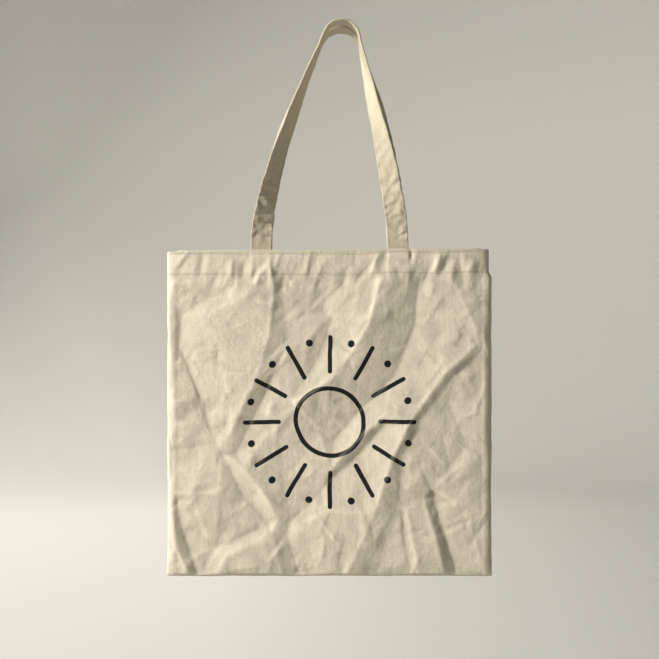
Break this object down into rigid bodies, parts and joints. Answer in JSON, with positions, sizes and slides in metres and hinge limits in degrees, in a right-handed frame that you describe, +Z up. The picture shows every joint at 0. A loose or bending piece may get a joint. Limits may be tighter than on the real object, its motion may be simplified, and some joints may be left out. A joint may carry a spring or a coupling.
{
  "type": "canvas tote bag",
  "caption": "Flat open-topped canvas bag with hemmed mouth and long folded-canvas handles, hanging empty from a peg; each handle folds down over the hem.",
  "frame": {"origin": "the hang point: top of the peg, under both handles, midway between them", "axes": "+Z up from the bag to the peg, front of the bag faces -Y, +X to the right seen from the front"},
  "size_m": [0.38, 0.052, 0.6459],
  "materials": {
    "canvas": "unbleached cotton canvas, crumpled, matt",
    "strap": "unbleached cotton canvas, folded and sewn, matt",
    "thread": "cotton sewing thread, natural"
  },
  "bodies": {
    "bag": {"front_panel": "canvas", "front_hem_upper_stitches": "thread", "front_hem_lower_stitches": "thread", "front_handle_left_end": "strap", "front_handle_right_end": "strap", "back_panel": "canvas", "back_hem_upper_stitches": "thread", "back_hem_lower_stitches": "thread", "back_handle_left_end": "strap", "back_handle_right_end": "strap", "left_seam_stitches": "thread", "left_seam_overlock": "thread", "right_seam_stitches": "thread", "right_seam_overlock": "thread", "bottom_seam_stitches": "thread", "bottom_seam_overlock": "thread"},
    "front_handle": {"front_handle": "strap", "front_handle_outer_stitches": "thread", "front_handle_inner_stitches": "thread"},
    "back_handle": {"back_handle": "strap", "back_handle_outer_stitches": "thread", "back_handle_inner_stitches": "thread"}
  },
  "joints": [
    {"name": "front_handle_fold", "type": "hinge", "parent": "bag", "child": "front_handle", "pos_m": [-0.0134, -0.00705, -0.26185], "axis": [1, 0, 0], "range_deg": [0, 150]},
    {"name": "back_handle_fold", "type": "hinge", "parent": "bag", "child": "back_handle", "pos_m": [-0.0134, 0.00705, -0.26185], "axis": [-1, 0, 0], "range_deg": [0, 150]}
  ]
}
